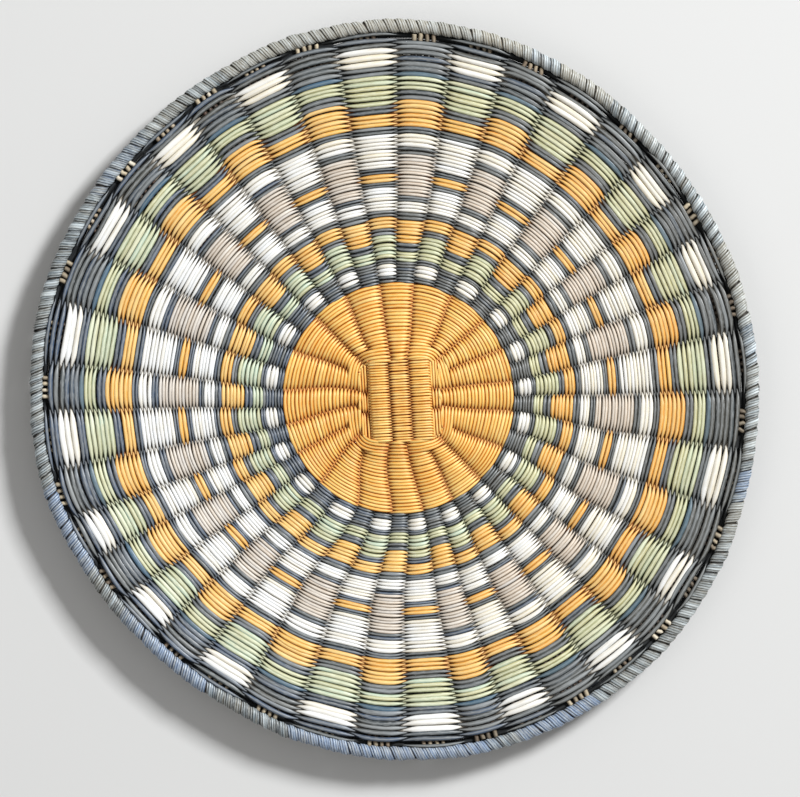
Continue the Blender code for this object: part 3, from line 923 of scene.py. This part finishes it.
def panel_row(row, upper, rng):
    """One row, from one side to the other, and the turn after it: place across and along the
    ribs, height, taper, and which way the row goes round the ribs."""
    v = (row + 0.5) * PANEL_PITCH - PANEL_HALF_L
    half = PANEL_HALF_W
    if not upper and abs(v) > PANEL_HALF_W - EDGE_LAP:
        half = (LOWER_SQUARE ** SQUARE_POWER - v ** SQUARE_POWER) ** (1 / SQUARE_POWER) - EDGE_LAP
    reach = half - TURN_R
    inner = PANEL_RIB_PITCH * 0.5
    u = np.linspace(-reach, reach, ROW_STEPS)
    beside = np.clip((np.abs(u) - inner) / (reach - inner), 0.0, 1.0)
    ribs = np.where(np.abs(u) < inner, u / inner * 0.5, np.sign(u) * (0.5 + 0.5 * beside))
    swing = np.cos(np.pi * ribs)
    profile = np.sign(swing) * (1 - (1 - np.abs(swing)) ** PANEL_BOW_POWER)
    if upper:
        level = -UPPER_DROOP * ease((np.abs(u) - DROOP_FROM) / DROOP_LENGTH)
        turn_level = -UPPER_DROOP
    else:
        level = turn_level = LOWER_LIFT * ease((abs(v) - LIFT_FROM) / LIFT_LENGTH)
    near = np.abs(np.abs(u) - inner)
    taper = np.sin(np.clip(near / PANEL_TAPER, 0.0, 1.0) * math.pi / 2)
    bow = ROW_BEND * np.sin(ribs * 2.0 + row) + rng.normal(0.0, ROW_JITTER)
    onwards = 1 if row % 2 == 0 else -1
    turn = TURN_ANGLES
    return (
        onwards * np.concatenate((u, reach + TURN_R * np.cos(turn))),
        v + np.concatenate((bow, PANEL_PITCH * (turn + math.pi / 2) / math.pi)),
        np.concatenate((
            profile * onwards * PANEL_WAVE + level, PANEL_WAVE * np.sin(turn) + turn_level,
        )),
        np.concatenate((taper, np.full(len(turn), TURN_TAPER))),
        # The strip's own upper side turns over with each row
        np.concatenate((-profile if upper else profile, np.zeros(len(turn)))),
    )


def panel_piece(level):
    upper = level == "upper"
    centre, across, along = panel_axes(upper)
    soup = Soup()
    rng = np.random.default_rng(PANEL_SEEDS[level])
    rows = [panel_row(row, upper, rng) for row in range(PANEL_ROWS)]
    u, v, height, taper, place = (np.concatenate(part) for part in zip(*rows))
    count = len(rows[0][0])
    path = centre + across * u[:, None] + along * v[:, None] + Z_AXIS * height[:, None]
    half_w = PANEL_PITCH * (PANEL_TIP_W + PANEL_CREST_W * taper)
    half_t = mix(PANEL_TIP_T, PANEL_CREST_T, taper)
    tone = np.repeat(np.clip(rng.normal(*PANEL_TONE, PANEL_ROWS), 0, 1), count)
    tone = np.clip(tone + 0.12 * np.sin(u * 0.9 + v * 3.1), 0, 1)
    hue = np.repeat(stretches(rng, PANEL_ROWS, *PANEL_HUE), count)
    # Painted shade: faces turned towards the ribs, and the flanks near the rib lines, are painted
    # dark
    soup.tube(path, np.tile(along, (len(u), 1)), half_w, half_t, False, tone, hue,
              outer_faces(place), 0, point=taper)
    piece = soup.build(f"panel_stems_{level}", [MATERIALS["disc"]])
    hand_over(piece, f"panel_weft_{level}")


# Ribs: bundles of slim rods
RODS = 4
ROD_PLACES = np.arange(RODS) - (RODS - 1) / 2
ROD_R = 1.15
ROD_PITCH = 3.1
ARM_STEPS = np.array((
    25.0, 27.5, 30.0, 33.0, 37.0, 42.0, 48.0, 55.0, 58.5, 63.0, 72.0, 84.0, 98.0,
    114.0, 130.0, 146.0, 158.0, 164.0, 167.5, 169.5, 171.0, 172.6,
))
# In the disc a bundle lies this far off its column's middle, as a share of the column. From
# SPLIT_R it moves to the middle of its field column, and the rods get the room that is there
BUNDLE_SHARE = 0.13
SPLIT_R = 55.0
SPLIT_LENGTH = 3.5
ROOM_LENGTH = 5.0
# Share of its room that a bundle takes, in the disc and in the field
DISC_FILL = 0.46
FIELD_FILL = 0.56
# Inside this radius the rods are painted near black, as painted shade; past it they show a pale
# colour, each bundle and each rod by its own share
PALE_FROM = 167.5
PALE_LENGTH = 2.5
BUNDLE_PALE_RANGE = (0.1, 1.0)
ROD_PALE_RANGE = (0.3, 1.0)
# Share of its last step that a rod reaches
ROD_END_RANGE = (0.3, 1.0)
ROD_R_SPREAD = 0.06
# How far rods wander in the field, sideways and up, and where that starts
ROD_WANDER = 0.22
ROD_RISE = 0.08
WANDER_FROM = 60.0
WANDER_LENGTH = 60.0
# In the panels: rod radius and pitch, distance of a half rib from its line, places along it
PANEL_ROD_R = 0.38
PANEL_ROD_PITCH = 0.8
PANEL_HALF_RIB = 1.65
PANEL_STEPS = np.array((-17.5, -6.0, 6.0, 17.5))
ADDED_SEED = 300


def bundle_angle(field_column, radius):
    column = field_column // 2
    side = 1 if field_column % 2 else -1
    inside_r = np.minimum(radius, DISC_R)
    left = disc_edge(column, inside_r)
    right = disc_edge(column + 1, inside_r)
    inside = (left + right) * 0.5 + (right - left) * BUNDLE_SHARE * side
    outside_r = np.maximum(radius, DISC_R)
    outside = 0.5 * (field_edge(field_column, outside_r) + field_edge(field_column + 1, outside_r))
    return mix(inside, outside, ease((radius - SPLIT_R) / SPLIT_LENGTH))


def rod_room(field_column, radius):
    """Half of the width that each rod of a bundle has."""
    column = field_column // 2
    inside_r = np.minimum(radius, DISC_R)
    span = disc_edge(column + 1, inside_r) - disc_edge(column, inside_r)
    inside = np.radians(span) * radius * 0.5 * DISC_FILL / (2 * RODS)
    outside = math.tau * radius / FIELD_COLUMNS * FIELD_FILL / (2 * RODS)
    return mix(inside, outside, ease((radius - SPLIT_R) / ROOM_LENGTH))


def arm_rods(field_column, rng):
    """The rods of one bundle, from the panels to the rim: path, radius and tone of each."""
    radii = ARM_STEPS
    degrees = bundle_angle(field_column, radii)
    room = rod_room(field_column, radii)
    size = np.minimum(room, ROD_R)
    inside_z = np.array([column_height(r, field_column // 2) for r in radii])
    middle = plan(radii, degrees, np.where(radii < DISC_R, inside_z, field_z(radii)))
    angle = np.radians(degrees)
    across = np.stack((-np.sin(angle), np.cos(angle), 0 * angle), axis=-1)
    freedom = ease((radii - WANDER_FROM) / WANDER_LENGTH)
    rods = []
    pale = rng.uniform(*BUNDLE_PALE_RANGE)
    for place in ROD_PLACES:
        offset = place * np.minimum(2.0 * room, ROD_PITCH)
        wobble = rng.normal(0.0, ROD_WANDER, len(radii)) * freedom
        path = middle + across * (offset + wobble)[:, None]
        path[:, 2] += rng.normal(0.0, ROD_RISE) * freedom
        path[-1] = mix(path[-2], path[-1], rng.uniform(*ROD_END_RANGE))
        # Near black as painted shade, pale only near the rim
        tone = pale * rng.uniform(*ROD_PALE_RANGE) * ease((radii - PALE_FROM) / PALE_LENGTH)
        rods.append((path, size * (1 + rng.normal(0.0, ROD_R_SPREAD)), tone))
    return rods


def through_rods(start, end, centre, across, along, offset, turn):
    """The rods of one half of a through rib, from rim to rim."""
    rng = np.random.default_rng(start * 7 + end)
    first = arm_rods(start, rng)
    last = arm_rods(end, rng)
    rods = []
    for place, back, on in zip(ROD_PLACES, reversed(first), last):
        aside = offset + place * PANEL_ROD_PITCH * turn
        middle = centre + across * aside + along * PANEL_STEPS[:, None]
        rods.append((
            np.concatenate((back[0][::-1], middle, on[0])),
            np.concatenate((back[1][::-1], np.full(len(middle), PANEL_ROD_R), on[1])),
            np.concatenate((back[2][::-1], np.zeros(len(middle)), on[2])),
        ))
    return rods


def rods_piece(label, rods):
    soup = Soup()
    for path, size, tone in rods:
        across = unit(np.cross(Z_AXIS, np.gradient(path, axis=0)))
        from_middle = np.hypot(path[:, 0], path[:, 1])
        # Painted bounce light: in the disc the rods' painted shade is tinted dark red
        hue = mix(1.0, 0.5, ease((from_middle - DISC_R) / 2.0))
        soup.tube(path, across, size, size, False, tone, hue, 1.0, 0)
    piece = soup.build(f"rods_{label}", [MATERIALS["rod"]])
    hand_over(piece, f"rib_{label}")


def build_ribs():
    sets = (
        ("upper", UPPER_COLUMNS, (-1, 0, 1)),
        ("lower", LOWER_COLUMNS, (1, 0, -1)),
    )
    for level, pairs, places in sets:
        upper = level == "upper"
        centre, across, along = panel_axes(upper)
        turn = -1 if upper else 1
        for place, pair in zip(places, pairs):
            for half, side in enumerate((-1, 1)):
                start, end = pair[0] * 2 + 1 - half, pair[1] * 2 + half
                if upper:
                    start, end = end, start
                offset = place * PANEL_RIB_PITCH + side * PANEL_HALF_RIB
                rods = through_rods(start, end, centre, across, along, offset, turn)
                rods_piece(f"{level}_{place + 2}_{'ab'[half]}", rods)
    for index, column in enumerate(ADDED_COLUMNS):
        for half in (0, 1):
            field_column = column * 2 + half
            rng = np.random.default_rng(ADDED_SEED + field_column)
            rods_piece(f"added_{index + 1}_{'ab'[half]}", arm_rods(field_column, rng))


# Rim: a hoop, and a strip wound round it
WRAPS = 214
WRAP_STEPS = 14
FIBRES = 4
STRIP_W = 4.75
FIBRE_W = STRIP_W / FIBRES
FIBRE_HALF_W = FIBRE_W * 0.61
FIBRE_HALF_T = 0.22
WRAP_R = 2.62
WRAP_SLANT = 0.4
# How far the middle of the wound roll lies inwards, and its height as a share of its width
RIM_INWARD = 0.35
RIM_FLAT = 0.84
HOOP_HALF_W = 2.1
HOOP_HALF_T = 1.85
# The strip is rounded: its middle stands out by the first, and its edges by the second less
STRIP_CROWN = 0.25
STRIP_ROUND = 0.60
# How far wraps vary in radius and along the rim, and the single fibres of each
WRAP_R_SPREAD, WRAP_SLIDE = 0.13, 0.38
FIBRE_R_SPREAD, FIBRE_DRIFT = 0.05, 0.10
# Tone of the strip along its middle, how much darker its edges are painted, as painted shade in the
# grooves between wraps, and its spreads
STRIP_TONE = 0.67
STRIP_EDGE_SHADE = 1.25
WRAP_TONE_SPREAD = 0.25
FIBRE_TONE_SPREAD = 0.18
# Hue: wraps in a stretch, spread, and middle
STRIP_HUE = (5, 0.26, 0.44)
# Painted light and painted reflection: the rim is painted lightest and warmest near the top, and
# darker and bluer at the lower left, as painted shade and a painted sky reflection: by how much,
# and at which angle in radians
RIM_PAINTED_LIGHT, RIM_PAINTED_LIGHT_AT = 0.21, 1.25
RIM_SKY_TINT, RIM_SKY_TINT_AT = 0.36, 1.35
RIM_SEED = 77


def roll_frame(degrees):
    """The middle of the rim's roll, and the way out from it."""
    middle = plan(RIM_MID_R, degrees, RIM_MID_Z)
    angle = np.radians(degrees)
    out = np.stack((np.cos(angle), np.sin(angle), 0 * angle), axis=-1)
    return middle, out


def build_wrap():
    rng = np.random.default_rng(RIM_SEED)
    place = np.arange(WRAPS * WRAP_STEPS) / WRAP_STEPS
    number = WRAPS + 2
    wraps = np.arange(number)
    fat = np.interp(place, wraps, rng.normal(0.0, WRAP_R_SPREAD, number))
    slide = np.interp(place, wraps, rng.normal(0.0, WRAP_SLIDE, number))
    shade = STRIP_TONE + rng.normal(0.0, WRAP_TONE_SPREAD, number)
    tint = stretches(rng, number, *STRIP_HUE)
    around = math.tau * wraps / WRAPS
    # Painted light and shade by the angle round the rim, and a painted sky reflection in the hue
    shade = shade + RIM_PAINTED_LIGHT * np.cos(around - RIM_PAINTED_LIGHT_AT)
    tint = tint + RIM_SKY_TINT * np.cos(around - RIM_SKY_TINT_AT)
    middle, out = roll_frame(360.0 * place / WRAPS)
    along = np.stack((-out[:, 1], out[:, 0], 0 * place), axis=-1)
    turn = -math.tau * (place % 1.0)
    soup = Soup()
    for fibre in range(FIBRES):
        offset = (fibre - (FIBRES - 1) / 2) * FIBRE_W
        beside = (2 * offset / STRIP_W) ** 2
        own = np.interp(place, wraps, rng.normal(0.0, FIBRE_R_SPREAD, number))
        drift = np.interp(place, wraps, rng.normal(0.0, FIBRE_DRIFT, number))
        reach = WRAP_R + fat + own + STRIP_CROWN - STRIP_ROUND * beside
        shift = offset + slide + drift + WRAP_SLANT * np.cos(turn)
        normal = out * np.cos(turn)[:, None] + Z_AXIS * RIM_FLAT * np.sin(turn)[:, None]
        path = middle + normal * reach[:, None] + along * shift[:, None]
        path = path + out * (RIM_INWARD * (np.cos(turn) - 1))[:, None]
        # The outer fibres of each wrap are painted darker, as painted shade between the wraps
        tone = shade + rng.normal(0.0, FIBRE_TONE_SPREAD, number) - STRIP_EDGE_SHADE * beside
        tone = np.interp(place, wraps, np.clip(tone, 0, 1))
        hue = np.interp(place, wraps, np.clip(tint, 0, 1))
        soup.tube(path, -along, FIBRE_HALF_W, FIBRE_HALF_T, False, tone, hue, 1.0, 0, sides=6)
    piece = soup.build("rim_wrap", [MATERIALS["strip"]])
    hand_over(piece, "rim_binding")


def build_hoop():
    soup = Soup()
    middle, out = roll_frame(np.arange(0, 360, 1.5))
    soup.tube(middle - out * RIM_INWARD, out, HOOP_HALF_W, HOOP_HALF_T, True, 0.0, 0.5, 1.0, 0,
              sides=12)
    piece = soup.build("rim_hoop", [MATERIALS["hoop"]])
    hand_over(piece, "rim_core")


# Stage, light and camera, in metres
FLOOR_HALF = 3.0
FLOOR_Z = -0.0002
FLOOR_COLOUR = (0.690, 0.690, 0.681, 1.0)
FLOOR_ROUGH = 0.95
WORLD_STRENGTH = 0.285
LAMPS = (
    {"name": "key", "place": (2.25, 1.95, 2.25), "size": 0.8, "power": 182.0,
     "colour": (0.98, 0.99, 1.0)},
    {"name": "fill", "place": (-1.6, -0.8, 2.2), "size": 2.0, "power": 10.0,
     "colour": (1.0, 0.97, 0.93)},
)
CAMERA_PLACE = (0.0027, -0.00415, 2.0)
SCALE_Z = 0.010
SENSOR_MM = 36.0
PHOTO_WIDTH = 800


def build_floor():
    corners = [(x * FLOOR_HALF, y * FLOOR_HALF, 0) for x, y in ((-1, -1), (1, -1), (1, 1), (-1, 1))]
    mesh = bpy.data.meshes.new("floor")
    mesh.from_pydata(corners, [], [(0, 1, 2, 3)])
    floor = bpy.data.objects.new("floor", mesh)
    floor.location.z = FLOOR_Z
    bpy.context.scene.collection.objects.link(floor)
    material = bpy.data.materials.new("floor_pale")
    material.use_nodes = True
    shader = material.node_tree.nodes["Principled BSDF"]
    shader.inputs["Base Color"].default_value = FLOOR_COLOUR
    shader.inputs["Roughness"].default_value = FLOOR_ROUGH
    mesh.materials.append(material)


def build_lights():
    world = bpy.data.worlds.new("studio")
    bpy.context.scene.world = world
    world.use_nodes = True
    sky = world.node_tree.nodes["Background"]
    sky.inputs["Color"].default_value = (1.0, 1.0, 1.0, 1.0)
    sky.inputs["Strength"].default_value = WORLD_STRENGTH
    for look in LAMPS:
        data = bpy.data.lights.new(look["name"], "AREA")
        data.energy = look["power"]
        data.size = look["size"]
        data.color = look["colour"]
        lamp = bpy.data.objects.new(look["name"], data)
        x, y, z = look["place"]
        lamp.location = (x, y, z)
        # It points at the middle of the plaque
        tilt = math.atan2(math.hypot(x, y), z)
        lamp.rotation_euler = (tilt, 0.0, math.atan2(-y, -x) - math.pi / 2)
        bpy.context.scene.collection.objects.link(lamp)


def build_camera():
    """Straight above, as in the photo, with the photo's scale at the height of SCALE_Z."""
    data = bpy.data.cameras.new("camera")
    data.sensor_width = SENSOR_MM
    data.lens = SENSOR_MM * (CAMERA_PLACE[2] - SCALE_Z) / (PHOTO_WIDTH * PX * MM)
    camera = bpy.data.objects.new("camera", data)
    camera.location = CAMERA_PLACE
    bpy.context.scene.collection.objects.link(camera)
    bpy.context.scene.camera = camera


build_field()
build_disc()
panel_piece("upper")
panel_piece("lower")
build_ribs()
build_wrap()
build_hoop()
build_floor()
build_lights()
build_camera()
bpy.context.scene.view_settings.view_transform = "Standard"
